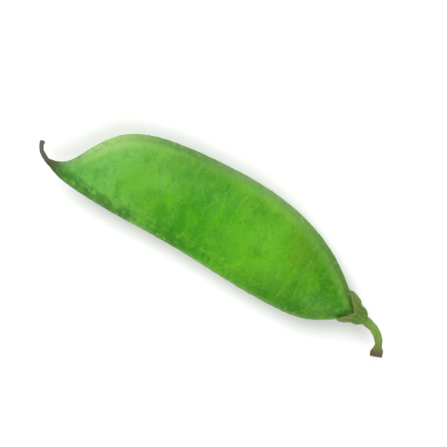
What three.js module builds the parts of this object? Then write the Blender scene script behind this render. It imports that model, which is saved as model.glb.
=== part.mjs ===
// A fresh hyacinth bean pod, picked and lying on its broad side on a level surface.
// Millimetres. +X runs from the beak to the stalk, +Y points to the humped back edge of the pod,
// and +Z points up. The origin is under the middle of the pod's box, on the surface it lies on.
import * as THREE from 'three';

// ---- driving dimensions --------------------------------------------------------------------------
const RIM = 1.0; // half-thickness that the pod keeps close behind its two edges
const CHEEK_POWER = 0.35; // how full the cheeks are behind the rims: 0 would be an ellipse
const PRESSED = 0.45; // how far the lower cheek is pressed flat where the pod lies
const GAP = 0.3; // clearance between neighbouring pieces

// The outline leads the pod from the tip of the beak to the stem end. Each row is one place along
// it: a point that leads the back edge, one that leads the seam edge, and the half-thickness.
// Heights are measured from the middle of the pod's thickest place.
const OUTLINE = [
  { back: [0.0, 0.6, 1.7], seam: [-0.3, -1.0, 1.6], half: 0.6 },
  { back: [2.4, 1.3, 1.6], seam: [2.1, -2.2, 1.4], half: 1.0 },
  { back: [4.4, 4.1, 1.5], seam: [5.8, -2.9, 1.0], half: 1.6 },
  { back: [6.9, 8.5, 1.1], seam: [10.5, -3.5, 0.6], half: 2.4 },
  { back: [11.7, 12.9, 0.6], seam: [15.0, -3.9, 0.3], half: 3.1 },
  { back: [19.2, 14.5, 0.2], seam: [20.5, -4.2, 0.1], half: 3.6 },
  { back: [27.5, 14.8, 0.0], seam: [27.0, -4.5, 0.0], half: 3.9 },
  { back: [36.6, 14.7, 0.0], seam: [34.5, -5.3, 0.0], half: 4.0 },
  { back: [46.2, 13.5, 0.0], seam: [43.0, -6.4, 0.0], half: 3.9 },
  { back: [55.2, 10.2, 0.0], seam: [51.5, -7.0, 0.3], half: 3.5 },
  { back: [61.3, 5.9, 0.2], seam: [58.3, -6.9, 0.7], half: 2.8 },
  { back: [64.6, 2.6, 0.7], seam: [62.8, -4.8, 1.0], half: 2.1 },
  { back: [66.6, 0.9, 1.0], seam: [65.8, -2.9, 1.1], half: 1.7 },
  { back: [68.6, 0.2, 1.2], seam: [68.0, -2.4, 1.2], half: 1.5 },
];
const POD_STATIONS = 60;
const POD_SIDES = 28;

// The seeds swell both cheeks softly.
const SEEDS = [0.33, 0.43, 0.53, 0.64, 0.73]; // places along the pod, as shares of the outline
const SEED_ACROSS = -0.1; // off the middle line towards the seam, as a share of the half-width
const SEED_HEIGHT = 0.3; // how far a seed raises the cheek
const SEED_SPREAD = 3.0; // radius of the raised spot

// The calyx is a cup around the neck at the stem end, with lobes that flare out along the pod.
const CALYX_WALL = 0.5;
const CALYX_TUBE = 1.2; // closed part of the cup, measured back from the pod's end
const CALYX_LOBES = 4;
const CALYX_LOBE = 2.0; // a lobe's length beyond the closed part
const CALYX_FLARE = 0.6; // how far a lobe's tip stands off more than its foot
const CALYX_TURN = Math.PI / 4; // the lobes lie between the edges and the middles of the cheeks
const LOBE_POINT = 1.5; // how pointed a lobe is: 1 is a round arch
const CALYX_BASE = 1.8; // the base beyond the pod's end, which narrows to the stalk
const CALYX_SIDES = 32;

const STALK_RADIUS = 0.8;
const SCAR_RADIUS = 1.2; // the swollen scar where the stalk broke off
const SCAR_START = 0.8; // share of the stalk's length where the swelling begins
const SCAR_ROUNDING = 0.7 * Math.PI; // how much of a wave the swelling makes by the end
const STALK_STEPS = 14;
const STALK_SIDES = 12;

const STYLE_BASE = 0.5; // radius of the dry style where it leaves the beak
const STYLE_END = 0.4;
const STYLE_STEPS = 16;
const STYLE_SIDES = 8;

// ---- curves and skins ----------------------------------------------------------------------------

// The value at share t of a smooth curve led by a list of numbers: a uniform cubic B-spline that
// starts at the first number and ends at the last.
function led(values, t) {
  const last = values.length - 1;
  const place = Math.min(Math.max(t, 0), 1) * last;
  const i = Math.min(Math.floor(place), last - 1);
  const f = place - i;
  const g = 1 - f;
  const before = i > 0 ? values[i - 1] : 2 * values[0] - values[1];
  const after = i + 2 <= last ? values[i + 2] : 2 * values[last] - values[last - 1];
  const atStart = 3 * f ** 3 - 6 * f ** 2 + 4;
  const atEnd = 3 * g ** 3 - 6 * g ** 2 + 4;
  return (g ** 3 * before + atStart * values[i] + atEnd * values[i + 1] + f ** 3 * after) / 6;
}

function ledPoint(points, t) {
  const [x, y, z] = [0, 1, 2].map((axis) => led(points.map((p) => p[axis]), t));
  return new THREE.Vector3(x, y, z);
}

// A closed body over a row of rings with equal counts, its first and last ring closed by fans.
function skin(rings) {
  const sides = rings[0].length;
  const lastRing = (rings.length - 1) * sides;
  const firstMiddle = rings.length * sides;
  const lastMiddle = firstMiddle + 1;
  const triangles = [];
  for (let k = 0; k < sides; k += 1) {
    const next = (k + 1) % sides;
    for (let start = 0; start < lastRing; start += sides) {
      triangles.push(start + k, start + next, start + sides + next);
      triangles.push(start + k, start + sides + next, start + sides + k);
    }
    triangles.push(firstMiddle, next, k);
    triangles.push(lastMiddle, lastRing + k, lastRing + next);
  }
  const points = [...rings.flat(), middle(rings[0]), middle(rings[rings.length - 1])];
  const geometry = new THREE.BufferGeometry().setFromPoints(points);
  geometry.setIndex(triangles);
  geometry.computeVertexNormals();
  return geometry;
}

function middle(ring) {
  const sum = ring.reduce((total, point) => total.add(point), new THREE.Vector3());
  return sum.divideScalar(ring.length);
}

// An oval ring around a centre, with its half-sizes along two directions.
function oval(centre, across, up, halfAcross, halfUp, sides) {
  return Array.from({ length: sides }, (_, k) => {
    const angle = (2 * Math.PI * k) / sides;
    const point = centre.clone().addScaledVector(across, halfAcross * Math.cos(angle));
    return point.addScaledVector(up, halfUp * Math.sin(angle));
  });
}

// A round tube along a curve, with a radius for each share of its length.
function taperedTube(curve, radiusAt, steps, sides) {
  const { tangents, normals, binormals } = curve.computeFrenetFrames(steps, false);
  const rings = tangents.map((_, i) => {
    const radius = radiusAt(i / steps);
    return oval(curve.getPointAt(i / steps), normals[i], binormals[i], radius, radius, sides);
  });
  return skin(rings);
}

// ---- the pod -------------------------------------------------------------------------------------
const UP = new THREE.Vector3(0, 0, 1);
const THICKEST = Math.max(...OUTLINE.map((row) => row.half));
const RESTING_MIDDLE = THICKEST - PRESSED; // height of the pod's middle above the surface

// The pod's cross-section at share t of the outline: its centre, the direction across it towards
// the back edge, the direction through its thickness, and its half-width and half-thickness.
function section(t) {
  const back = ledPoint(OUTLINE.map((row) => row.back), t);
  const seam = ledPoint(OUTLINE.map((row) => row.seam), t);
  const centre = back.clone().add(seam).divideScalar(2);
  centre.z += RESTING_MIDDLE;
  const across = back.sub(seam);
  const halfWidth = across.length() / 2;
  across.normalize();
  const up = UP.clone().addScaledVector(across, -across.z).normalize();
  return { centre, across, up, halfWidth, half: led(OUTLINE.map((row) => row.half), t) };
}

const seedCentres = SEEDS.map((t) => {
  const { centre, across, halfWidth } = section(t);
  return centre.addScaledVector(across, SEED_ACROSS * halfWidth);
});

function seedSwelling(point) {
  const swellings = seedCentres.map((seed) => {
    const distance = Math.hypot(point.x - seed.x, point.y - seed.y);
    return SEED_HEIGHT * Math.exp(-0.5 * (distance / SEED_SPREAD) ** 2);
  });
  return swellings.reduce((sum, swelling) => sum + swelling, 0);
}

function podRing(t) {
  const { centre, across, up, halfWidth, half } = section(t);
  const rim = Math.min(RIM, half);
  return Array.from({ length: POD_SIDES }, (_, k) => {
    const angle = (2 * Math.PI * k) / POD_SIDES;
    const side = Math.sin(angle); // 1 in the middle of the upper cheek, -1 of the lower one
    const point = centre.clone().addScaledVector(across, halfWidth * Math.cos(angle));
    const cheek = (rim + (half - rim) * Math.abs(side) ** CHEEK_POWER) * side;
    point.addScaledVector(up, cheek + seedSwelling(point) * side * Math.abs(side));
    point.z = Math.max(point.z, 0);
    return point;
  });
}

const podRings = Array.from({ length: POD_STATIONS + 1 }, (_, i) => podRing(i / POD_STATIONS));

// ---- the calyx -----------------------------------------------------------------------------------
const stemEnd = section(1);
const stemAxis = new THREE.Vector3().crossVectors(stemEnd.across, stemEnd.up);
const NEAR_END = 0.05; // share of the outline over which its last millimetres are measured
const SHARE_PER_MM = NEAR_END / section(1 - NEAR_END).centre.distanceTo(stemEnd.centre);

// A ring of the cup that stands off the pod by a clearance. Its distance back from the pod's end
// may change around the ring, and a negative distance lies beyond the end, on the base.
function cupRing(distanceAt, clearance, narrowing = 1) {
  return Array.from({ length: CALYX_SIDES }, (_, k) => {
    const angle = (2 * Math.PI * k) / CALYX_SIDES;
    const distance = distanceAt(angle);
    const { centre, across, up, halfWidth, half } = section(1 - distance * SHARE_PER_MM);
    centre.addScaledVector(stemAxis, Math.max(-distance, 0));
    const reach = narrowing * Math.cos(angle) * (halfWidth + clearance);
    const rise = narrowing * Math.sin(angle) * (half + clearance);
    return centre.addScaledVector(across, reach).addScaledVector(up, rise);
  });
}

// How far the rim of the cup reaches at an angle around it, for a share of the lobes' length.
function lobeReach(share) {
  const halfTurns = (angle) => (CALYX_LOBES / 2) * (angle - CALYX_TURN);
  const lobeAt = (angle) => Math.abs(Math.cos(halfTurns(angle))) ** LOBE_POINT;
  return (angle) => CALYX_TUBE + GAP + CALYX_LOBE * share * lobeAt(angle);
}

// From the bottom inside the cup, out over the tips of the lobes, to the base at the stalk.
const cupRings = [
  cupRing(() => -GAP, GAP),
  cupRing(() => 0, GAP),
  cupRing(() => CALYX_TUBE, GAP),
  cupRing(lobeReach(0.5), GAP + CALYX_FLARE / 3),
  cupRing(lobeReach(1), GAP + CALYX_FLARE),
  cupRing(lobeReach(1), GAP + CALYX_FLARE + CALYX_WALL / 2),
  cupRing(lobeReach(0.5), GAP + CALYX_FLARE / 3 + CALYX_WALL),
  cupRing(() => CALYX_TUBE, GAP + CALYX_WALL),
  cupRing(() => 0, GAP + CALYX_WALL),
  cupRing(() => -CALYX_BASE / 2, GAP + CALYX_WALL, 0.85),
  cupRing(() => -CALYX_BASE, GAP + CALYX_WALL, 0.45),
];

// ---- the stalk and the dry style -----------------------------------------------------------------

// A curve through a start point and points given from it.
function curveFrom(start, steps) {
  const onward = steps.map((step) => start.clone().add(new THREE.Vector3(...step)));
  return new THREE.CatmullRomCurve3([start, ...onward]);
}

const stalkCurve = curveFrom(
  stemEnd.centre.clone().addScaledVector(stemAxis, CALYX_BASE + GAP),
  [[2.0, -0.7, 0.1], [3.7, -2.4, 0.4], [4.4, -5.2, 0.9]],
);

function stalkRadius(share) {
  const scar = Math.max(share - SCAR_START, 0) / (1 - SCAR_START);
  return STALK_RADIUS + (SCAR_RADIUS - STALK_RADIUS) * Math.sin(scar * SCAR_ROUNDING);
}

const styleCurve = curveFrom(
  section(0).centre.add(new THREE.Vector3(-GAP, 0, 0)),
  [[-1.4, 0.5, 0.1], [-2.6, 1.4, 0.4], [-3.1, 2.6, 0.8], [-3.1, 3.2, 1.0]],
);

function styleRadius(share) {
  return STYLE_BASE + (STYLE_END - STYLE_BASE) * share;
}

// ---- the whole -----------------------------------------------------------------------------------
function piece(name, geometry, color, roughness) {
  const material = new THREE.MeshStandardMaterial({ color, roughness, metalness: 0 });
  const mesh = new THREE.Mesh(geometry, material);
  mesh.name = name;
  return mesh;
}

const stalkTube = taperedTube(stalkCurve, stalkRadius, STALK_STEPS, STALK_SIDES);
const styleTube = taperedTube(styleCurve, styleRadius, STYLE_STEPS, STYLE_SIDES);
const group = new THREE.Group();
group.add(piece('pod', skin(podRings), 0x58a632, 0.4));
group.add(piece('calyx', skin(cupRings), 0x6a8226, 0.65));
group.add(piece('stalk', stalkTube, 0x7b9438, 0.6));
group.add(piece('style_tail', styleTube, 0x5b5340, 0.8));

// The origin goes under the middle of the whole pod's box.
const boxMiddle = new THREE.Box3().setFromObject(group, true).getCenter(new THREE.Vector3());
group.position.set(-boxMiddle.x, -boxMiddle.y, 0);

export default group;
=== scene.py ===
"""A fresh hyacinth bean pod, picked and lying on its broad side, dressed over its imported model.

Lengths are in millimetres until a mesh is made, which is where they become metres. The outline,
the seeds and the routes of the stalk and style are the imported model's own, counted from the
beak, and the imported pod's box says where the beak lies in the frame.
"""
import math

import bpy
import numpy as np
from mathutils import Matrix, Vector, noise

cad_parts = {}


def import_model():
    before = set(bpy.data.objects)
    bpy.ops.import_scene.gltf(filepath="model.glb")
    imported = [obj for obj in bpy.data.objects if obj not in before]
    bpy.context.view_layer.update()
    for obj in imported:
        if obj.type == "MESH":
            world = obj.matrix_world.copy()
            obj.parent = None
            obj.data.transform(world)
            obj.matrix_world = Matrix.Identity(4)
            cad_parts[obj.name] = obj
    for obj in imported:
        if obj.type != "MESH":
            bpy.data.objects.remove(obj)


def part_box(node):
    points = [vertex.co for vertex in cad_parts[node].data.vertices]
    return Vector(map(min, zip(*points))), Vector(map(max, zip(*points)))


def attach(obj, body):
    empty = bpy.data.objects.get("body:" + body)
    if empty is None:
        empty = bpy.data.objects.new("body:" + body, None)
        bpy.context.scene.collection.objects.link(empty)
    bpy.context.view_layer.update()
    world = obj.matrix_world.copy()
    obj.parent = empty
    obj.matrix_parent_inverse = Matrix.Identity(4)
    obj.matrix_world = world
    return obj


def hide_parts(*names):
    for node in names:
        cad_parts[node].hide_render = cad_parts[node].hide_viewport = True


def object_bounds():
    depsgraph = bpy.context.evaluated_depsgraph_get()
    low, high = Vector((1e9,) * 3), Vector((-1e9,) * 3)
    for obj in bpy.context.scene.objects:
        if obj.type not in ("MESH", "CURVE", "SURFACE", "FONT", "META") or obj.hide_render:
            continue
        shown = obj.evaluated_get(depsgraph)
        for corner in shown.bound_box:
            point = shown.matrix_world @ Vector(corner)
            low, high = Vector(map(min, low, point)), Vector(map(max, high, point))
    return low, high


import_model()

CAD_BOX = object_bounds()
MM = 0.001

# ---- sizes ---------------------------------------------------------------------------------------
GAP = 0.3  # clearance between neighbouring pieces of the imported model
RIM = 1.0  # half-thickness that the pod keeps close behind its two edges
CHEEK_POWER = 0.35  # how full the cheeks are behind the rims: 0 would be an ellipse
PRESSED = 0.45  # how far the lower cheek is pressed flat where the pod lies

# Each row leads the outline at one place along the pod: the x, y and z of a point that leads the
# back edge, those of one that leads the seam edge, and the half-thickness.
OUTLINE = np.array([
    [0.0, 0.6, 1.7, -0.3, -1.0, 1.6, 0.6],
    [2.4, 1.3, 1.6, 2.1, -2.2, 1.4, 1.0],
    [4.4, 4.1, 1.5, 5.8, -2.9, 1.0, 1.6],
    [6.9, 8.5, 1.1, 10.5, -3.5, 0.6, 2.4],
    [11.7, 12.9, 0.6, 15.0, -3.9, 0.3, 3.1],
    [19.2, 14.5, 0.2, 20.5, -4.2, 0.1, 3.6],
    [27.5, 14.8, 0.0, 27.0, -4.5, 0.0, 3.9],
    [36.6, 14.7, 0.0, 34.5, -5.3, 0.0, 4.0],
    [46.2, 13.5, 0.0, 43.0, -6.4, 0.0, 3.9],
    [55.2, 10.2, 0.0, 51.5, -7.0, 0.3, 3.5],
    [61.3, 5.9, 0.2, 58.3, -6.9, 0.7, 2.8],
    [64.6, 2.6, 0.7, 62.8, -4.8, 1.0, 2.1],
    [66.6, 0.9, 1.0, 65.8, -2.9, 1.1, 1.7],
    [68.6, 0.2, 1.2, 68.0, -2.4, 1.2, 1.5],
])
RESTING_MIDDLE = OUTLINE[:, 6].max() - PRESSED  # height of the pod's middle above the floor
POD_STATIONS = 380
POD_SIDES = 220

# The seeds swell both cheeks softly.
SEEDS = [0.33, 0.43, 0.53, 0.64, 0.73]  # places along the pod, as shares of the outline
SEED_ACROSS = -0.1  # off the middle line towards the seam, as a share of the half-width
SEED_HEIGHT = 0.3  # how far a seed raises the cheek
SEED_SPREAD = 3.0  # radius of the raised spot
KERNEL_ALONG = 2.7  # half-size of the seed's own shape, which shows in the raised spot
KERNEL_ACROSS = 3.8
KERNEL_HEIGHT = 0.20
KERNEL_SINK = 0.10  # how far the skin sinks where no kernel fills it

# Raised and sunken lines along the two sutures: height, distance from the edge and width.
BACK_LINES = [(0.15, 0.75, 0.50), (-0.14, 1.90, 0.45), (-0.13, 0.00, 0.25)]
SEAM_LINES = [(0.20, 1.30, 0.80), (-0.12, 0.00, 0.40), (-0.17, 2.60, 0.50), (0.12, 0.00, 1.10)]
# The lines that the warts crowd, in the same terms.
BACK_WARTS = [(0.10, 0.75, 0.50)]
SEAM_WARTS = [(0.16, 1.20, 0.80)]
BACK_BAND = 2.4  # how far from the edges the relief of the cheeks fades
SEAM_BAND = 2.8
VEIN_HEIGHT = 0.05
WAVE_HEIGHT = 0.12
SMALL_WAVE_HEIGHT = 0.05
EDGE_WAVE = 0.22  # how far the thin edges sway up and down
FULL_RELIEF = 3.0  # half-thickness from which the relief has its full height

CALYX_TUBE = 1.3  # closed part of the cup, measured back from the pod's end
CALYX_LOBES = 4
CALYX_LOBE = 2.2  # a lobe's length beyond the closed part
CALYX_BASE = 1.8  # the base beyond the pod's end, which narrows to the stalk
CALYX_GAP = 0.12  # between the cup's inside and the pod
CALYX_WALL = 0.50  # thickness at the base
LOBE_EDGE = 0.12  # thickness at the tips of the lobes
LOBE_ROUNDING = 0.08  # radius of a lobe's tip, as a share of its half-width
CALYX_RIBS = 12
CALYX_SIDES = 144

STALK_RADIUS = 0.8
STALK_ROOT = 0.6  # how far the stalk starts inside the cup's base
STALK_STEPS = np.array([[2.0, -0.7, 0.1], [3.7, -2.4, 0.4], [4.4, -5.2, 0.9]])
STALK_RINGS = 90
STALK_SIDES = 48
SCAR_RADIUS = 1.2  # the swollen scar where the stalk broke off
SCAR_START = 0.8  # share of the stalk's length where the swelling begins
SCAR_ROUNDING = 0.68 * np.pi  # how much of a wave the swelling makes by the end

STYLE_BASE = 0.5  # radius of the dry style where it leaves the beak
STYLE_END = 0.4
STYLE_ROOT = [1.2, -0.1, 0]  # where the style starts inside the beak, from the beak's tip
STYLE_STEPS = np.array([[-1.4, 0.5, 0.1], [-2.6, 1.4, 0.4], [-3.1, 2.6, 0.8], [-3.1, 3.2, 1.0]])
STYLE_RINGS = 110
STYLE_SIDES = 28

# Rings past the end of a body: their size, as a share of its end ring's, and how far past that
# ring they lie.
BEAK_ROUNDING = [(0.97, 0.15), (0.92, 0.35), (0.86, 0.55), (0.79, 0.75), (0.71, 0.92),
                 (0.60, 1.06), (0.45, 1.15), (0.25, 1.18)]
TORN_END = [(0.97, 0.08), (0.90, 0.20), (0.80, 0.24), (0.70, 0.14), (0.60, -0.04),
            (0.48, -0.20), (0.34, -0.28), (0.20, -0.30), (0.08, -0.28)]
STYLE_TIP = [(0.85, 0.10), (0.5, 0.16), (0.2, 0.18)]


# ---- curves and skins ----------------------------------------------------------------------------
def led(values, t):
    """The value at each share t of the smooth curve that a row of values leads: a uniform cubic
    B-spline that starts at the first value and ends at the last."""
    t = np.atleast_1d(t)
    last = len(values) - 1
    place = np.clip(t, 0, 1) * last
    i = np.minimum(np.floor(place).astype(int), last - 1)
    padded = np.vstack([2 * values[0] - values[1], values, 2 * values[-1] - values[-2]])
    f = (place - i)[:, None]
    g = 1 - f
    weights = [g**3, 3 * f**3 - 6 * f**2 + 4, 3 * g**3 - 6 * g**2 + 4, f**3]
    return sum(weight * padded[i + k] for k, weight in enumerate(weights)) / 6


def unit(vectors):
    return vectors / np.linalg.norm(vectors, axis=-1, keepdims=True)


def section(t):
    """The pod's cross-sections at shares t: centres, directions across it towards the back edge
    and through its thickness, half-widths and half-thicknesses."""
    row = led(OUTLINE, t)
    back, seam, half = row[:, :3], row[:, 3:6], row[:, 6]
    centre = (back + seam) / 2 + [0, 0, RESTING_MIDDLE]
    across = unit(back - seam)
    up = unit([0, 0, 1] - across * across[:, 2:])
    return centre, across, up, np.linalg.norm(back - seam, axis=1) / 2, half


def round_angles(sides):
    """Even angles for the sides of a ring."""
    return np.linspace(0, 2 * np.pi, sides, endpoint=False)


def bell(distance, width):
    """1 at no distance, falling off smoothly over a width."""
    return np.exp(-((distance / width) ** 2))


def lines(distance, rows):
    """The height of raised and sunken lines at a distance from the edge that they follow."""
    return sum(height * bell(distance - place, width) for height, place, width in rows)


def perlin(points):
    """Smooth noise between -1 and 1 at each of an array of points."""
    flat = points.reshape(-1, 3)
    return np.array([noise.noise(Vector(p)) for p in flat]).reshape(points.shape[:-1])


def stacked(x, y, z):
    """Points from arrays or numbers that broadcast together."""
    return np.stack(np.broadcast_arrays(x, y, z), -1)


def normals_of(grid):
    """Outward unit normals of a grid of points, whose second axis runs round the body."""
    along = np.gradient(grid, axis=0)
    around = (np.roll(grid, -1, axis=1) - np.roll(grid, 1, axis=1)) / 2
    cross = np.cross(around, along)
    size = np.linalg.norm(cross, axis=-1, keepdims=True)
    return cross / np.maximum(size, 1e-9)


def raised(grid, height):
    """The grid with each of its points moved outwards by a height."""
    return grid + normals_of(grid) * height[..., None]


def soft_end(grid, steps):
    """The grid with more rings past its last one: each is the last ring scaled about its middle
    and moved forward along the body."""
    middle = grid[-1].mean(0)
    forward = unit(middle - grid[-2].mean(0))
    rings = [middle + (grid[-1] - middle) * scale + forward * move for scale, move in steps]
    return np.concatenate([grid, rings])


def skin(name, grid, attributes):
    """A smooth closed mesh over a grid of rings, closed at both ends, with a value for each of
    its grid's points under each attribute's name."""
    rings, sides = grid.shape[:2]
    index = np.arange(rings * sides).reshape(rings, sides)
    onward = np.roll(index, -1, axis=1)
    quads = np.stack([index[:-1], onward[:-1], onward[1:], index[1:]], -1).reshape(-1, 4)
    first, last = rings * sides, rings * sides + 1
    caps = [(first, int(onward[0, k]), int(index[0, k])) for k in range(sides)]
    caps += [(last, int(index[-1, k]), int(onward[-1, k])) for k in range(sides)]
    points = np.vstack([grid.reshape(-1, 3), grid[0].mean(0), grid[-1].mean(0)])
    mesh = bpy.data.meshes.new(name)
    mesh.from_pydata((points * MM).tolist(), [], quads.tolist() + caps)
    mesh.polygons.foreach_set("use_smooth", [True] * len(mesh.polygons))
    for key, values in attributes.items():
        values = np.broadcast_to(values, (rings, sides))
        on_caps = [values[0].mean(), values[-1].mean()]
        layer = mesh.attributes.new(key, "FLOAT", "POINT")
        layer.data.foreach_set("value", np.append(values.ravel(), on_caps))
    piece = bpy.data.objects.new(name, mesh)
    bpy.context.collection.objects.link(piece)
    return piece


def place_in_frame():
    """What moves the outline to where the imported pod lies."""
    low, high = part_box("pod")
    centre, across, _, half_width, _ = section(np.linspace(0, 1, 600))
    reach = across * half_width[:, None]
    edges = np.vstack([centre + reach, centre - reach])
    return np.array([low.x / MM - edges[:, 0].min(), high.y / MM - edges[:, 1].max(), 0])


SHIFT = place_in_frame()


# ---- the pod -------------------------------------------------------------------------------------
def even_shares(count):
    """Shares of the outline that are evenly spaced along the pod, and their distance from the beak."""
    fine = np.linspace(0, 1, 2000)
    centres = section(fine)[0]
    steps = np.linalg.norm(np.diff(centres, axis=0), axis=1)
    travelled = np.append(0, np.cumsum(steps))
    distance = np.linspace(0, travelled[-1], count)
    return np.interp(distance, travelled, fine), distance


def seeds_under(flat):
    """How much of a seed's soft swelling, and of its own shape, lies at points of the pod's
    middle plane."""
    centre, across, _, half_width, _ = section(np.array(SEEDS))
    seeds = centre + across * (SEED_ACROSS * half_width)[:, None]
    away = [(flat[..., 0] - x, flat[..., 1] - y) for x, y, _ in seeds]
    swelling = sum(bell(np.hypot(dx, dy), SEED_SPREAD * math.sqrt(2)) for dx, dy in away)
    kernel = sum(bell(np.hypot(dx / KERNEL_ALONG, dy / KERNEL_ACROSS), 1.0) for dx, dy in away)
    return swelling, kernel


def edge_distances(grid):
    """Each point's distance over the surface from the back edge and from the seam edge."""
    steps = np.linalg.norm(np.roll(grid, -1, axis=1) - grid, axis=-1)
    round_from_back = np.cumsum(steps, axis=1) - steps
    girth = steps.sum(axis=1, keepdims=True)
    return np.minimum(round_from_back, girth - round_from_back), np.abs(round_from_back - girth / 2)


# In the patterns below, each noise is divided by the size of its grain, and its third place keeps
# it from repeating another noise or what the other cheek or edge has.
def wart_pattern(distance, edge, from_edge):
    """Small and large warts, from 0 to 1."""
    small = perlin(stacked(distance / 0.60, from_edge / 0.7, np.sign(edge) * 3.3))
    large = perlin(stacked(distance / 1.7, from_edge / 1.1, np.sign(edge) * 7.7))
    return np.clip(1.7 * small + 1.0 * large, 0, 1)


def vein_pattern(distance, reach, side):
    """Veins that run across the cheeks and join in a loose net, from 0 to 1."""
    bend = 0.9 * perlin(stacked(distance / 7, reach / 8, side * 2.0))
    bend = bend + 0.16 * perlin(stacked(distance / 2, reach / 2, side + 5.0))
    sway = 1.1 * perlin(stacked(distance / 3.4, reach / 4, side + 4.0))
    lateral = (distance / 3.4 + 0.05 * reach + bend) % 1 - 0.5
    linking = (reach / 2.9 + 0.04 * distance + sway) % 1 - 0.5
    linked = np.clip(2.5 * perlin(stacked(distance / 2.2, reach / 2.2, side + 12.0)), 0, 1)
    shown = np.clip(0.6 + 1.2 * perlin(stacked(distance / 4, reach / 4, side + 2.0)), 0, 1)
    return np.maximum(bell(lateral, 0.075), 0.7 * bell(linking, 0.07) * linked) * shown


def pod():
    """The two valves with their sutures and the beak in one skin, with what its finish goes by."""
    t, along = even_shares(POD_STATIONS)
    centre, across, up, half_width, half = (a[:, None] for a in section(t))
    angle = round_angles(POD_SIDES)[None, :]
    side = np.sin(angle)  # 1 in the middle of the upper cheek, -1 of the lower one
    edge = np.cos(angle)  # 1 on the back edge, -1 on the seam edge
    reach = edge * half_width
    flat = centre + across * reach[..., None]
    swelling, kernel = seeds_under(flat)
    rim = np.minimum(RIM, half)
    cheek = (rim + (half - rim) * np.abs(side) ** CHEEK_POWER) * side
    cheek = cheek + SEED_HEIGHT * swelling * side * np.abs(side)
    grid = flat + up * cheek[..., None]

    from_back, from_seam = edge_distances(grid)
    distance = np.broadcast_to(along[:, None], from_back.shape)
    open_cheek = (1 - bell(from_back, BACK_BAND)) * (1 - bell(from_seam, SEAM_BAND))
    warts = wart_pattern(distance, edge, np.where(edge > 0, from_back, from_seam) * np.sign(side))
    veins = vein_pattern(distance, reach, side) * open_cheek
    waves = perlin(stacked(distance / 9, reach / 7, side * 1.2 + 1.7))
    small_waves = perlin(stacked(distance / 2.4, reach / 2.4, side * 1.5 + 6.1))
    relief = (
        lines(from_back, BACK_LINES) + warts * lines(from_back, BACK_WARTS)
        + lines(from_seam, SEAM_LINES) + warts * lines(from_seam, SEAM_WARTS)
        + (KERNEL_HEIGHT * kernel - KERNEL_SINK) * side**2 * open_cheek
        + VEIN_HEIGHT * veins + WAVE_HEIGHT * waves * np.abs(side) + SMALL_WAVE_HEIGHT * small_waves
    )
    taper = np.clip(half / FULL_RELIEF, 0, 1)
    grid = raised(grid, relief * taper)
    sway = EDGE_WAVE * perlin(stacked(distance / 6.5, np.sign(edge) * 2.0, 8.0)) * edge**6
    grid[..., 2] = np.maximum(grid[..., 2] + sway * taper, 0)
    grid = soft_end(grid[::-1], BEAK_ROUNDING)[::-1]

    attributes = {
        "along": distance / along[-1],
        "distance": distance,
        "across": edge,
        "from_back": from_back,
        "from_seam": from_seam,
        "kernel": kernel * side**2,
        "vein": veins,
        "wart": warts,
    }
    # the rings that round off the beak repeat the values of the one that they lead on from
    rows = np.maximum(np.arange(len(grid)) - len(BEAK_ROUNDING), 0)
    values = {key: np.broadcast_to(value, distance.shape)[rows] for key, value in attributes.items()}
    return skin("pod_valves", grid + SHIFT, values)


# ---- calyx, stalk and style ----------------------------------------------------------------------
END_CENTRE, END_ACROSS, END_UP = (a[0] for a in section(1.0)[:3])
STEM_AXIS = np.cross(END_ACROSS, END_UP)
NEAR_END = 0.05  # share of the outline over which its last millimetres are measured
SHARE_PER_MM = NEAR_END / np.linalg.norm(section(1 - NEAR_END)[0][0] - END_CENTRE)


def cup_ring(angle, distance, clearance, narrowing=1.0):
    """A ring of the cup that stands off the pod by a clearance. Its distance is measured back
    from the pod's end, and a negative one lies beyond the end, on the base."""
    distance = np.broadcast_to(distance, angle.shape)
    centre, across, up, half_width, half = section(1 - np.maximum(distance, 0) * SHARE_PER_MM)
    centre = centre + STEM_AXIS * np.maximum(-distance, 0)[:, None]
    reach = narrowing * np.cos(angle) * (half_width + clearance)
    rise = narrowing * np.sin(angle) * (half + clearance)
    return centre + across * reach[:, None] + up * rise[:, None]


def calyx():
    """A thin-walled cup round the neck, with unequal pointed lobes that flare."""
    angle = round_angles(CALYX_SIDES)
    over_lobe = (CALYX_LOBES * angle / (2 * np.pi)) % 1 - 0.5  # -0.5 to 0.5 across each lobe
    pointed = 1 + LOBE_ROUNDING - np.hypot(2 * over_lobe, LOBE_ROUNDING)
    unequal = 1 + 0.22 * np.cos(angle - 0.6) + 0.15 * np.sin(2 * angle + 0.5)
    tips = CALYX_TUBE + CALYX_LOBE * np.clip(pointed, 0, 1) ** 1.2 * unequal
    flare = 0.70 + 0.35 * np.cos(angle - 1.1)
    rib = np.cos(CALYX_RIBS * angle)

    rows, shares = [], []
    for share in np.linspace(0, 1, 18):  # inside, from the bottom to the tips
        rows.append(cup_ring(angle, tips * share, CALYX_GAP + flare * share**2.2))
        shares.append(share)
    for share in np.linspace(1, 0, 22):  # outside, back to the bottom
        wall = LOBE_EDGE + (CALYX_WALL - LOBE_EDGE) * (1 - share) ** 0.6 + 0.07 * rib * (1 - share)
        rows.append(cup_ring(angle, tips * share, CALYX_GAP + wall + flare * share**2.2))
        shares.append(share)
    for share in np.linspace(0.08, 1, 16):  # the base, which narrows to the stalk
        wall = CALYX_WALL + 0.05 * rib * (1 - share)
        rows.append(cup_ring(angle, -CALYX_BASE * share, CALYX_GAP + wall, 1 - 0.62 * share**1.8))
        shares.append(-share)
    grid = np.array(rows)
    grid = raised(grid, 0.10 * perlin(grid / 1.1) + 0.04 * perlin(grid / 0.4))
    return skin("calyx_cup", grid + SHIFT, {"share": np.array(shares)[:, None], "rib": rib})


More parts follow.
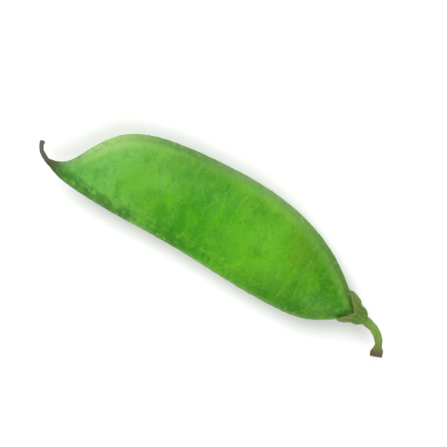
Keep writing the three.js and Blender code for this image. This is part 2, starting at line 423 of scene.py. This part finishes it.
def smooth_route(points, count):
    """Evenly spaced points on a smooth curve through some points."""
    points = np.array(points, float)
    padded = np.vstack([2 * points[0] - points[1], points, 2 * points[-1] - points[-2]])
    f = np.linspace(0, 1, 60, endpoint=False)[:, None]
    fine = []
    for a, b, c, d in zip(padded, padded[1:], padded[2:], padded[3:]):
        square = (2 * a - 5 * b + 4 * c - d) * f**2
        cube = (3 * b - a - 3 * c + d) * f**3
        fine.append(0.5 * (2 * b + (c - a) * f + square + cube))
    fine = np.vstack(fine + [points[-1:]])
    travelled = np.append(0, np.cumsum(np.linalg.norm(np.diff(fine, axis=0), axis=1)))
    even = np.linspace(0, travelled[-1], count)
    return np.stack([np.interp(even, travelled, fine[:, k]) for k in range(3)], 1)


def tube(route, radius, start_across):
    """A grid of rings round a route, with a radius for each of its points and each side."""
    tangent = unit(np.gradient(route, axis=0))
    across = np.array(start_across, float)
    angle = round_angles(radius.shape[1])
    rings = []
    for place, ahead, radii in zip(route, tangent, radius):
        across = unit(across - ahead * (across @ ahead))
        up = np.cross(ahead, across)
        ring = np.cos(angle)[:, None] * across + np.sin(angle)[:, None] * up
        rings.append(place + ring * radii[:, None])
    return np.array(rings)


def stalk():
    """The bent stalk, whose broken end is a torn rim round a hollow."""
    start = END_CENTRE + STEM_AXIS * (CALYX_BASE - STALK_ROOT)
    out = END_CENTRE + STEM_AXIS * (CALYX_BASE + GAP)
    route = smooth_route([start, out, *(out + STALK_STEPS)], STALK_RINGS)
    share = np.linspace(0, 1, STALK_RINGS)[:, None]
    angle = round_angles(STALK_SIDES)[None, :]
    ragged = 0.03 * np.cos(angle + 1.0)
    scar = np.clip((share - SCAR_START + ragged) / (1 - SCAR_START), 0, 1)
    swelling = (SCAR_RADIUS - STALK_RADIUS) * np.sin(scar * SCAR_ROUNDING)
    radius = STALK_RADIUS + swelling * (1 + 0.12 * np.cos(2 * angle))
    radius = radius - 0.12 * bell(share - 0.72, 0.05) + 0.10 * bell(share - 0.1, 0.1)
    ridges = 0.05 * np.cos(7 * angle + 2 * share) * (1 - scar) + 0.03 * np.cos(13 * angle - 3 * share)
    grid = soft_end(tube(route, radius + ridges, END_ACROSS), TORN_END)

    added = len(TORN_END)
    share = np.append(share, np.ones(added))[:, None]
    scar = np.vstack([scar, np.ones((added, STALK_SIDES))])
    hollow = np.append(np.zeros(STALK_RINGS), np.linspace(0, 1, added))[:, None]
    rough = perlin(grid / 0.55) + 0.5 * perlin(grid / 0.22)
    grid = raised(grid, (0.04 + 0.16 * scar) * rough)
    return skin("stalk_bent", grid + SHIFT, {"share": share, "scar": scar, "hollow": hollow})


def style_tail():
    """The dry thread, which is thicker where the beak tapers into it and at its tip."""
    beak = section(0.0)[0][0]
    out = beak - [GAP, 0, 0]
    route = smooth_route([beak + STYLE_ROOT, out, *(out + STYLE_STEPS)], STYLE_RINGS)
    share = np.linspace(0, 1, STYLE_RINGS)[:, None]
    angle = round_angles(STYLE_SIDES)[None, :]
    radius = STYLE_BASE + (STYLE_END - STYLE_BASE) * share
    radius = radius + 0.10 * bell(share - 0.30, 0.08) + 0.12 * bell(share - 1, 0.05)
    radius = radius * (1 + 0.12 * np.cos(3 * angle + 9 * share) + 0.05 * np.cos(7 * angle - 4 * share))
    grid = soft_end(tube(route, radius, [0, 1, 0]), STYLE_TIP)
    grid = raised(grid, 0.05 * perlin(grid / 0.45))
    share = np.append(share, np.ones(len(STYLE_TIP)))[:, None]
    return skin("style_thread", grid + SHIFT, {"share": share})


# ---- materials -----------------------------------------------------------------------------------
def srgb(red, green, blue):
    """A colour from its 0 to 255 screen values."""
    def linear(value):
        value = value / 255
        return value / 12.92 if value <= 0.04045 else ((value + 0.055) / 1.055) ** 2.4
    return (linear(red), linear(green), linear(blue), 1.0)


def grey(value):
    """A grey from 0 to 1."""
    return (value, value, value, 1.0)


class Finish:
    """A node material built by short calls. Each value is a socket, a number or a colour, and
    noises and cells are given by how many of their grains lie in a millimetre."""

    def __init__(self, name):
        self.material = bpy.data.materials.new(name)
        self.material.use_nodes = True
        self.nodes = self.material.node_tree.nodes
        self.links = self.material.node_tree.links
        self.shader = self.nodes["Principled BSDF"]
        where = self.nodes.new("ShaderNodeTexCoord").outputs["Object"]
        self.place = self.call("ShaderNodeVectorMath", {0: where, "Scale": 1 / MM}, operation="SCALE")
        self.colour = None

    def call(self, kind, inputs, output=0, **settings):
        """An output of a new node, with its inputs linked or set."""
        node = self.nodes.new(kind)
        for key, value in settings.items():
            setattr(node, key, value)
        for key, value in inputs.items():
            if isinstance(value, bpy.types.NodeSocket):
                self.links.new(value, node.inputs[key])
            else:
                node.inputs[key].default_value = value
        return node.outputs[output]

    def attribute(self, name):
        """A value that the mesh carries."""
        return self.call("ShaderNodeAttribute", {}, "Fac", attribute_name=name)

    def joined(self, x, y, z):
        return self.call("ShaderNodeCombineXYZ", {0: x, 1: y, 2: z})

    def stretched(self, x, y, z):
        """The place with its three axes scaled."""
        return self.call("ShaderNodeVectorMath", {0: self.place, 1: (x, y, z)}, operation="MULTIPLY")

    def noise(self, scale, detail=2.0, vector=None, distortion=0.0):
        inputs = {"Scale": scale, "Detail": detail, "Distortion": distortion}
        return self.call("ShaderNodeTexNoise", {"Vector": vector or self.place, **inputs})

    def cells(self, scale, feature="F1"):
        inputs = {"Vector": self.place, "Scale": scale}
        return self.call("ShaderNodeTexVoronoi", inputs, feature=feature)

    def plus(self, a, b):
        return self.call("ShaderNodeMath", {0: a, 1: b}, operation="ADD")

    def minus(self, a, b):
        return self.call("ShaderNodeMath", {0: a, 1: b}, operation="SUBTRACT")

    def times(self, a, b):
        return self.call("ShaderNodeMath", {0: a, 1: b}, operation="MULTIPLY")

    def between(self, value, low, high, to_low=0.0, to_high=1.0):
        """A value's smooth step from low to high, as a number from to_low to to_high."""
        inputs = {"Value": value, "From Min": low, "From Max": high, "To Min": to_low, "To Max": to_high}
        return self.call("ShaderNodeMapRange", inputs, interpolation_type="SMOOTHSTEP")

    def ramp(self, value, stops):
        """A colour from stops, each a place from 0 to 1 with its colour."""
        node = self.nodes.new("ShaderNodeValToRGB")
        self.links.new(value, node.inputs[0])
        elements = node.color_ramp.elements
        while len(elements) < len(stops):
            elements.new(0.5)
        for element, (place, colour) in zip(elements, stops):
            element.position = place
            element.color = colour
        return node.outputs[0]

    def cover(self, share, colour):
        """Mixes a share of another colour into the material's own."""
        inputs = {0: share, 6: self.colour, 7: colour}
        self.colour = self.call("ShaderNodeMix", inputs, 2, data_type="RGBA")

    def tint(self, value, start, full, strength, colour, within=None):
        """Covers with a colour where a value goes from start to full, at most as far as its
        strength, and only within the share that another value gives."""
        share = self.between(value, start, full, 0.0, strength)
        self.cover(share if within is None else self.times(share, within), colour)

    def bump(self, height, distance, normal=None):
        """A normal from a height between 0 and 1 that stands for a distance, over another normal."""
        inputs = {"Height": height, "Distance": distance * MM}
        if normal is not None:
            inputs["Normal"] = normal
        return self.call("ShaderNodeBump", inputs)

    def finish(self, roughness, normal, **values):
        """The material, once the shader has its links and its even values."""
        self.links.new(self.colour, self.shader.inputs["Base Color"])
        self.links.new(roughness, self.shader.inputs["Roughness"])
        self.links.new(normal, self.shader.inputs["Normal"])
        for key, value in values.items():
            self.shader.inputs[key.replace("_", " ")].default_value = value
        return self.material


# The pod's mesh carries where each point lies: along and distance run from the beak, as a share and
# in millimetres, across runs from -1 on the seam edge to 1 on the back edge, and from_back and
# from_seam are millimetres over the surface. Back and seam are those last two, made ragged.
def greens_and_painted_light(f, along, across, distance):
    """Greens that change along the pod, partly its own and partly painted light: paler with a painted
    sheen near the beak and darker with painted shade at the stem end by the calyx, paler with painted
    light towards the back edge, and deeper with a painted shadow towards the seam near the stem end.
    """
    drift = f.plus(along, f.between(f.noise(0.13), 0.3, 0.7, -0.05, 0.05))
    # The stops mix the pod's own greens with painted light: a painted sheen, pale and bluish, over the
    # beak's third, and painted shade at the stem end.
    f.colour = f.ramp(drift, [
        (0.03, srgb(82, 150, 64)),
        (0.16, srgb(100, 167, 69)),
        (0.29, srgb(88, 158, 42)),
        (0.41, srgb(48, 132, 1)),
        (0.53, srgb(62, 144, 2)),
        (0.64, srgb(84, 158, 14)),
        (0.76, srgb(72, 143, 8)),
        (0.86, srgb(48, 122, 4)),
        (0.91, srgb(56, 124, 8)),
        (0.95, srgb(72, 128, 22)),
    ])
    # Painted light: paler towards the back edge, the side that the light falls on.
    f.tint(across, 0.1, 0.95, 0.30, srgb(98, 140, 40))
    # Painted shadow: deeper towards the seam from the middle on to the stem end.
    f.tint(across, -0.30, -0.75, 1.0, srgb(36, 98, 2), f.between(distance, 38.0, 58.0, 0.06, 0.42))


def cheek_marks(f, streaks, vein, kernel):
    """Clouds of paler and deeper green, streaks, veins, the seeds' pale spots, grain and specks."""
    clouds = f.noise(0.30, 3.0)
    f.tint(clouds, 0.50, 0.75, 0.45, srgb(98, 166, 4))
    f.tint(clouds, 0.48, 0.25, 0.45, srgb(30, 112, 1))
    f.tint(streaks, 0.52, 0.78, 0.30, srgb(106, 174, 6))
    f.tint(streaks, 0.46, 0.25, 0.30, srgb(32, 104, 2))
    f.tint(vein, 0.1, 0.9, 0.20, srgb(110, 174, 14))
    f.tint(kernel, 0.3, 1.0, 0.25, srgb(86, 164, 6))
    grain = f.noise(2.4, 3.0)
    f.tint(grain, 0.50, 0.75, 0.30, srgb(102, 170, 8))
    f.tint(grain, 0.48, 0.25, 0.30, srgb(28, 94, 2))
    speck_size = f.between(f.noise(0.4), 0.45, 0.7, 0.02, 0.16)
    f.tint(f.minus(f.cells(0.8), speck_size), 0.05, -0.03, 0.40, srgb(40, 84, 8))


def stem_end_marks(f, across, distance):
    """One olive blotch with a ragged edge, and dull patches near the calyx."""
    blotch_distance, blotch_across = 53.0, 0.35
    half_width = 8.0  # the pod's, near the blotch
    beside = f.times(f.minus(across, blotch_across), half_width)
    from_blotch = f.joined(f.minus(distance, blotch_distance), beside, 0.0)
    away = f.call("ShaderNodeVectorMath", {0: from_blotch}, "Value", operation="LENGTH")
    away = f.plus(away, f.between(f.noise(0.5, 3.0), 0.3, 0.7, -1.5, 1.5))
    f.tint(away, 4.5, 0.8, 0.26, srgb(94, 114, 12))
    neck = f.between(distance, 53.0, 60.0)
    patches = f.noise(0.85, 2.0)
    f.tint(patches, 0.48, 0.64, 0.36, srgb(58, 90, 16), neck)
    f.tint(patches, 0.44, 0.30, 0.08, srgb(122, 162, 84), neck)


def back_suture(f, along, distance, from_back, back, wart):
    """A greyish rim with warts and a thin groove, and a painted highlight as a pale line behind it at
    the hump. The rim's grey is the suture's own colour with painted shade where the edge turns away, and
    a painted sheen near the beak.
    """
    past_beak = f.between(distance, 4.0, 10.0, 0.1, 1.0)
    hump = f.times(f.between(distance, 22.0, 11.0, 0.15, 0.70), past_beak)
    # Painted highlight: a pale line along the top of the rim, where it catches the light, strongest at
    # the hump.
    lit_rim_top_mask = f.times(f.between(back, 4.7, 3.0), f.between(back, 1.6, 2.6))
    f.cover(f.times(lit_rim_top_mask, hump), srgb(140, 182, 96))
    # The rim's colour along the pod: the suture's own grey with painted shade where the edge turns away,
    # and paler with a painted sheen near the beak.
    rim = f.ramp(along, [
        (0.03, srgb(90, 128, 62)),
        (0.07, srgb(118, 158, 86)),
        (0.11, srgb(156, 186, 120)),
        (0.16, srgb(156, 186, 118)),
        (0.21, srgb(138, 170, 102)),
        (0.29, srgb(94, 124, 68)),
        (0.36, srgb(90, 121, 72)),
        (0.46, srgb(110, 139, 86)),
        (0.60, srgb(116, 143, 94)),
        (0.75, srgb(102, 131, 70)),
        (0.88, srgb(78, 112, 50)),
    ])
    rim_width = f.between(f.noise(0.5, 2.0), 0.3, 0.7, -0.3, 0.3)
    f.tint(f.plus(back, rim_width), 2.9, 1.5, 0.65, rim)
    f.tint(wart, 0.3, 0.9, 0.40, srgb(136, 164, 98), f.between(back, 1.9, 1.3))
    f.tint(f.noise(1.6, 3.0), 0.50, 0.70, 0.40, srgb(84, 112, 48), f.between(back, 2.4, 1.6))
    f.tint(from_back, 0.55, 0.2, 0.60, srgb(78, 88, 52))


def seam_suture(f, along, distance, from_seam, seam, wart):
    """A broken dark line, strongest near the beak, with mottles behind it. Where it is weak, a pale
    ridge with warts shows, and a thin groove follows the edge."""
    stretches = f.ramp(along, [
        (0.03, grey(0.65)),
        (0.24, grey(0.80)),
        (0.29, grey(0.10)),
        (0.34, grey(0.25)),
        (0.42, grey(0.65)),
        (0.50, grey(0.05)),
        (0.90, grey(0.30)),
    ])
    broken = f.noise(0.45, 1.5, f.joined(distance, f.times(from_seam, 0.3), 0.0))
    dark = f.times(f.between(broken, 0.34, 0.56, 0.65, 1.0), stretches)
    f.tint(seam, 3.9, 1.7, 1.0, srgb(38, 84, 18), dark)
    mottles = f.noise(1.0, 2.0)
    near_seam = f.times(f.between(seam, 6.5, 3.0), f.between(distance, 50.0, 36.0, 0.25, 0.9))
    f.tint(mottles, 0.44, 0.30, 0.55, srgb(40, 100, 8), near_seam)
    f.tint(mottles, 0.55, 0.70, 0.45, srgb(118, 182, 66), near_seam)
    calm = f.minus(1.0, stretches)
    f.tint(seam, 1.7, 1.2, 0.45, srgb(112, 154, 74), calm)
    pale_warts = f.times(f.between(wart, 0.3, 0.95, 0.0, 0.35), calm)
    f.cover(f.times(pale_warts, f.between(seam, 1.9, 1.3)), srgb(120, 156, 76))
    f.tint(from_seam, 0.6, 0.2, 0.75, srgb(50, 74, 26))


def dry_beak(f, distance, seam):
    """The beak dries towards the style, further back along the seam."""
    f.tint(distance, 4.5, 1.0, 1.0, srgb(56, 84, 28), f.between(seam, 3.4, 1.8, 0.0, 0.75))
    f.tint(distance, 1.8, 0.1, 0.9, srgb(70, 75, 36))


def pod_finish():
    f = Finish("pod_green")
    along = f.attribute("along")
    distance = f.attribute("distance")
    across = f.attribute("across")
    from_back = f.attribute("from_back")
    from_seam = f.attribute("from_seam")
    wart = f.attribute("wart")
    ragged = f.between(f.noise(0.8, 3.0), 0.3, 0.7, -0.25, 0.25)
    back = f.plus(from_back, ragged)
    seam = f.plus(from_seam, ragged)
    run_across = f.joined(f.times(distance, 0.8), f.times(across, 2.2), 0.0)
    streaks = f.noise(1.0, 3.0, run_across, 0.6)

    greens_and_painted_light(f, along, across, distance)
    cheek_marks(f, streaks, f.attribute("vein"), f.attribute("kernel"))
    stem_end_marks(f, across, distance)
    back_suture(f, along, distance, from_back, back, wart)
    seam_suture(f, along, distance, from_seam, seam, wart)
    dry_beak(f, distance, seam)

    roughness = f.between(f.noise(0.5, 3.0), 0.3, 0.7, 0.34, 0.52)
    pores = f.bump(f.noise(6.5, 2.0), 0.03)
    ripple = f.bump(f.cells(2.1, "SMOOTH_F1"), 0.035, pores)
    normal = f.bump(streaks, 0.10, ripple)
    return f.finish(
        roughness, normal,
        Subsurface_Weight=0.12, Subsurface_Scale=0.0010, Subsurface_Radius=(0.5, 1.0, 0.2),
        Specular_IOR_Level=0.20, Coat_Weight=0.03, Coat_Roughness=0.22, IOR=1.45,
    )


def calyx_finish():
    f = Finish("calyx_olive")
    share = f.attribute("share")
    f.colour = f.ramp(f.between(share, -1.0, 1.0), [
        (0.00, srgb(84, 122, 34)),
        (0.45, srgb(66, 104, 16)),
        (0.75, srgb(70, 104, 18)),
        (1.00, srgb(100, 118, 44)),
    ])
    f.tint(f.attribute("rib"), 0.2, 1.0, 0.35, srgb(108, 146, 56))
    f.tint(f.noise(1.6, 3.0), 0.48, 0.72, 0.55, srgb(70, 62, 16))
    f.tint(f.noise(4.5, 2.0), 0.5, 0.7, 0.25, srgb(120, 150, 66))
    f.tint(share, 0.80, 1.0, 0.35, srgb(98, 80, 32))
    roughness = f.between(f.noise(2.0), 0.3, 0.7, 0.5, 0.75)
    return f.finish(roughness, f.bump(f.noise(5.0, 3.0), 0.10),
                    Subsurface_Weight=0.08, Subsurface_Scale=0.0006, Specular_IOR_Level=0.35)


def stalk_finish():
    f = Finish("stalk_green")
    scar = f.attribute("scar")
    hollow = f.attribute("hollow")
    f.colour = f.ramp(f.attribute("share"), [
        (0.00, srgb(92, 128, 36)),
        (0.35, srgb(104, 146, 42)),
        (0.70, srgb(102, 132, 42)),
        (1.00, srgb(88, 74, 36)),
    ])
    blotches = f.noise(2.0, 3.0, f.stretched(0.5, 0.5, 2.5))
    f.tint(blotches, 0.5, 0.75, 0.5, srgb(82, 96, 34))
    f.tint(f.noise(3.5), 0.55, 0.72, 0.6, srgb(104, 80, 40))
    f.tint(scar, 0.2, 0.8, 0.85, srgb(84, 60, 36))
    f.tint(hollow, 0.15, 0.6, 0.8, srgb(128, 102, 66))
    f.tint(hollow, 0.7, 1.0, 0.9, srgb(46, 34, 22))
    roughness = f.between(f.noise(2.0), 0.3, 0.7, 0.5, 0.7)
    return f.finish(roughness, f.bump(f.noise(4.0, 3.0), 0.12),
                    Subsurface_Weight=0.08, Subsurface_Scale=0.0006)


def style_finish():
    f = Finish("style_dry")
    f.colour = f.ramp(f.attribute("share"), [
        (0.00, srgb(78, 82, 38)),
        (0.30, srgb(74, 74, 48)),
        (0.75, srgb(92, 88, 70)),
        (1.00, srgb(92, 84, 78)),
    ])
    f.tint(f.noise(3.0, 3.0), 0.45, 0.7, 0.6, srgb(48, 40, 28))
    roughness = f.between(f.noise(2.0), 0.3, 0.7, 0.6, 0.85)
    return f.finish(roughness, f.bump(f.noise(5.0, 3.0), 0.12))


def floor_finish():
    f = Finish("floor_white")
    f.colour = grey(0.86)
    f.tint(f.noise(0.02, 2.0), 0.4, 0.6, 1.0, grey(0.88))
    roughness = f.between(f.noise(0.05), 0.3, 0.7, 0.75, 0.85)
    return f.finish(roughness, f.bump(f.noise(0.8), 0.01))


# ---- the pieces in place -------------------------------------------------------------------------
def dress(piece, node, material):
    """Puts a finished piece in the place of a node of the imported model."""
    piece.data.materials.append(material)
    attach(piece, "root")
    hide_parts(node)


dress(pod(), "pod", pod_finish())
dress(calyx(), "calyx", calyx_finish())
dress(stalk(), "stalk", stalk_finish())
dress(style_tail(), "style_tail", style_finish())


# ---- floor, light and camera, in metres ----------------------------------------------------------
def floor():
    """A plain pale floor, large enough to fill the picture from any side."""
    half = 1.5
    corners = [(-half, -half, 0), (half, -half, 0), (half, half, 0), (-half, half, 0)]
    mesh = bpy.data.meshes.new("floor")
    mesh.from_pydata(corners, [], [(0, 1, 2, 3)])
    piece = bpy.data.objects.new("floor", mesh)
    bpy.context.collection.objects.link(piece)
    piece.data.materials.append(floor_finish())


def area_light(name, azimuth, elevation, distance, size, power):
    """A square light that looks at the pod, from a bearing counted from +X towards +Y."""
    data = bpy.data.lights.new(name, "AREA")
    data.size = size
    data.energy = power
    lamp = bpy.data.objects.new(name, data)
    bearing, rise = math.radians(azimuth), math.radians(elevation)
    level = math.cos(rise)
    direction = Vector((math.cos(bearing) * level, math.sin(bearing) * level, math.sin(rise)))
    lamp.location = direction * distance
    lamp.rotation_euler = (-lamp.location).to_track_quat("-Z", "Y").to_euler()
    bpy.context.collection.objects.link(lamp)


def world():
    """A soft studio that is bright round the horizon and dimmer overhead."""
    sky = bpy.data.worlds.new("studio")
    sky.use_nodes = True
    nodes, links = sky.node_tree.nodes, sky.node_tree.links
    direction = nodes.new("ShaderNodeTexCoord")
    split = nodes.new("ShaderNodeSeparateXYZ")
    links.new(direction.outputs["Generated"], split.inputs[0])
    brightness = nodes.new("ShaderNodeMapRange")
    links.new(split.outputs["Z"], brightness.inputs["Value"])
    for key, value in {"From Min": 0.0, "From Max": 0.9, "To Min": 1.05, "To Max": 0.15}.items():
        brightness.inputs[key].default_value = value
    links.new(brightness.outputs[0], nodes["Background"].inputs["Strength"])
    nodes["Background"].inputs["Color"].default_value = grey(1)
    bpy.context.scene.world = sky


def camera():
    """A camera that looks straight down, turned so that the beak points up to the left."""
    data = bpy.data.cameras.new("camera")
    data.lens = 85
    data.sensor_width = 36
    data.clip_start = 0.01
    turn = math.radians(25.6)
    fill = 0.80  # share of the picture's width that the turned part's length takes
    low, high = CAD_BOX
    middle = (Vector(low) + Vector(high)) / 2
    width_seen = (high[0] - low[0]) * math.cos(turn) / fill
    height = width_seen * data.lens / data.sensor_width
    eye = bpy.data.objects.new("camera", data)
    eye.location = (middle.x, middle.y, middle.z + height)
    eye.rotation_euler = (0, 0, turn)
    bpy.context.collection.objects.link(eye)
    bpy.context.scene.camera = eye


floor()
area_light("key", azimuth=135, elevation=52, distance=3.0, size=2.8, power=88)
area_light("fill", azimuth=-45, elevation=45, distance=3.5, size=3.0, power=82)
world()
camera()
bpy.context.scene.view_settings.view_transform = "Standard"
